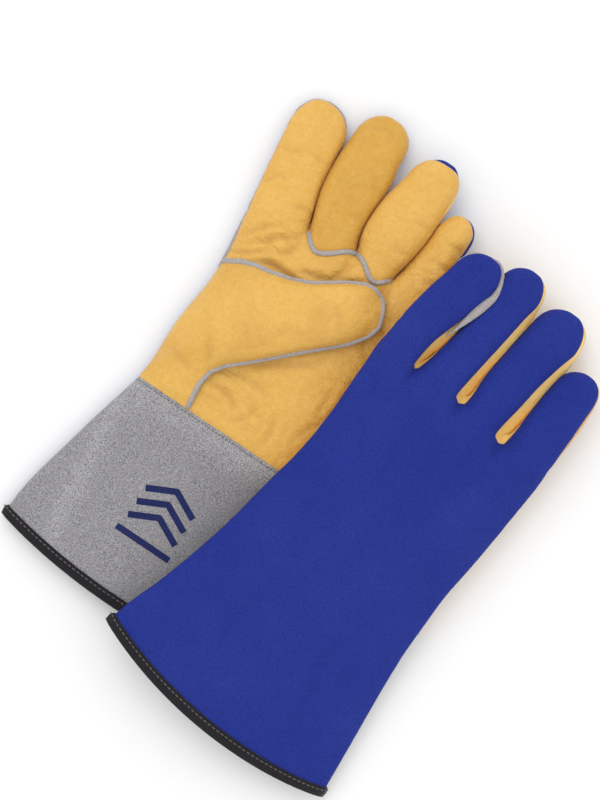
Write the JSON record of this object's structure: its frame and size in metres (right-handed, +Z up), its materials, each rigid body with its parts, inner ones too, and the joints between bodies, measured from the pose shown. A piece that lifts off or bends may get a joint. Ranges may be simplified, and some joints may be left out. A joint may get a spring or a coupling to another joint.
{
  "type": "pair of welding gloves",
  "caption": "Pair of five-fingered gauntlet welding gloves in grain and split leather, one lying palm up under the other, with flared cuffs, welted thumbs and opening digits.",
  "frame": {"origin": "middle of the pair's bounding box, on the floor under it", "axes": "+Y from the cuffs to the fingertips along the mean of the gloves' lengths, +Z up, +X from the left glove to the right glove"},
  "size_m": [0.2772, 0.3792, 0.0478],
  "materials": {
    "gold_grain": "smooth grain cowhide with fine pebbling and soft creases",
    "gold_inset": "smooth grain cowhide, a warmer shade",
    "blue_suede": "split cowhide with a short matt nap",
    "cuff_suede": "speckled split cowhide",
    "welt": "folded leather strip, matt",
    "binding": "woven tape",
    "lining": "cotton fleece"
  },
  "bodies": {
    "left_hand": {"left_back_panel": "blue_suede", "left_cuff_lining": "lining", "left_cuff_panel": "cuff_suede", "left_finger_base_welt": "welt", "left_hand_lining": "lining", "left_hem_binding": "binding", "left_palm_panel": "gold_grain", "left_thumb_wing": "gold_grain", "left_wing_welt": "welt"},
    "left_index": {"left_index_back": "blue_suede", "left_index_fourchette": "gold_grain", "left_index_front": "gold_grain", "left_index_lining": "lining", "left_index_welt": "welt"},
    "left_little": {"left_little_back": "blue_suede", "left_little_fourchette": "gold_grain", "left_little_front": "gold_grain", "left_little_lining": "lining"},
    "left_middle": {"left_middle_back": "blue_suede", "left_middle_fourchettes": "gold_grain", "left_middle_front": "gold_inset", "left_middle_lining": "lining"},
    "left_ring": {"left_ring_back": "blue_suede", "left_ring_fourchettes": "gold_grain", "left_ring_front": "gold_grain", "left_ring_lining": "lining"},
    "left_thumb": {"left_thumb_back": "gold_grain", "left_thumb_front": "gold_grain", "left_thumb_lining": "lining", "left_thumb_welt": "welt"},
    "right_hand": {"right_back_panel": "blue_suede", "right_cuff_lining": "lining", "right_cuff_panel": "cuff_suede", "right_finger_base_welt": "welt", "right_hand_lining": "lining", "right_hem_binding": "binding", "right_palm_panel": "gold_grain", "right_thumb_wing": "gold_grain", "right_wing_welt": "welt"},
    "right_index": {"right_index_back": "blue_suede", "right_index_fourchette": "gold_grain", "right_index_front": "gold_grain", "right_index_lining": "lining", "right_index_welt": "welt"},
    "right_little": {"right_little_back": "blue_suede", "right_little_fourchette": "gold_grain", "right_little_front": "gold_grain", "right_little_lining": "lining"},
    "right_middle": {"right_middle_back": "blue_suede", "right_middle_fourchettes": "gold_grain", "right_middle_front": "gold_inset", "right_middle_lining": "lining"},
    "right_ring": {"right_ring_back": "blue_suede", "right_ring_fourchettes": "gold_grain", "right_ring_front": "gold_grain", "right_ring_lining": "lining"},
    "right_thumb": {"right_thumb_back": "gold_grain", "right_thumb_front": "gold_grain", "right_thumb_lining": "lining", "right_thumb_welt": "welt"}
  },
  "joints": [
    {"name": "right_glove_lift", "type": "slide", "parent": "left_hand", "child": "right_hand", "axis": [0, 0, 1], "range_m": [0, 0.2]},
    {"name": "left_thumb_swing", "type": "hinge", "parent": "left_hand", "child": "left_thumb", "pos_m": [-0.09343, 0.0146, 0.0214], "axis": [0.0567, -0.9984, 0], "range_deg": [0, 90]},
    {"name": "left_index_flex", "type": "hinge", "parent": "left_hand", "child": "left_index", "pos_m": [-0.10789, 0.09631, 0.018], "axis": [0.9984, 0.0567, 0], "range_deg": [0, 85]},
    {"name": "left_middle_flex", "type": "hinge", "parent": "left_hand", "child": "left_middle", "pos_m": [-0.07131, 0.09774, 0.018], "axis": [0.9984, 0.0567, 0], "range_deg": [0, 85]},
    {"name": "left_ring_flex", "type": "hinge", "parent": "left_hand", "child": "left_ring", "pos_m": [-0.03668, 0.09822, 0.018], "axis": [0.9984, 0.0567, 0], "range_deg": [0, 85]},
    {"name": "left_little_flex", "type": "hinge", "parent": "left_hand", "child": "left_little", "pos_m": [-0.00533, 0.09997, 0.018], "axis": [0.9984, 0.0567, 0], "range_deg": [0, 85]},
    {"name": "right_thumb_swing", "type": "hinge", "parent": "right_hand", "child": "right_thumb", "pos_m": [0.01794, -0.00741, 0.02043], "axis": [0.0563, 0.9979, 0.0314], "range_deg": [0, 60]},
    {"name": "right_index_flex", "type": "hinge", "parent": "right_hand", "child": "right_index", "pos_m": [0.00429, 0.07401, 0.02564], "axis": [-0.9909, 0.052, 0.1238], "range_deg": [0, 45]},
    {"name": "right_middle_flex", "type": "hinge", "parent": "right_hand", "child": "right_middle", "pos_m": [0.03719, 0.07233, 0.02154], "axis": [-0.9909, 0.052, 0.1238], "range_deg": [0, 45]},
    {"name": "right_ring_flex", "type": "hinge", "parent": "right_hand", "child": "right_ring", "pos_m": [0.07157, 0.07042, 0.01724], "axis": [-0.9909, 0.052, 0.1238], "range_deg": [0, 45]},
    {"name": "right_little_flex", "type": "hinge", "parent": "right_hand", "child": "right_little", "pos_m": [0.10692, 0.06813, 0.01281], "axis": [-0.9909, 0.052, 0.1238], "range_deg": [0, 45]}
  ],
  "couplings": [
    {"joint": "left_little_flex", "follows": "right_glove_lift", "rad_per_m": 7.4176},
    {"joint": "right_thumb_swing", "follows": "right_glove_lift", "rad_per_m": 5.236},
    {"joint": "right_index_flex", "follows": "right_glove_lift", "rad_per_m": 3.927},
    {"joint": "right_middle_flex", "follows": "right_glove_lift", "rad_per_m": 3.927},
    {"joint": "right_ring_flex", "follows": "right_glove_lift", "rad_per_m": 3.927},
    {"joint": "right_little_flex", "follows": "right_glove_lift", "rad_per_m": 3.927}
  ]
}
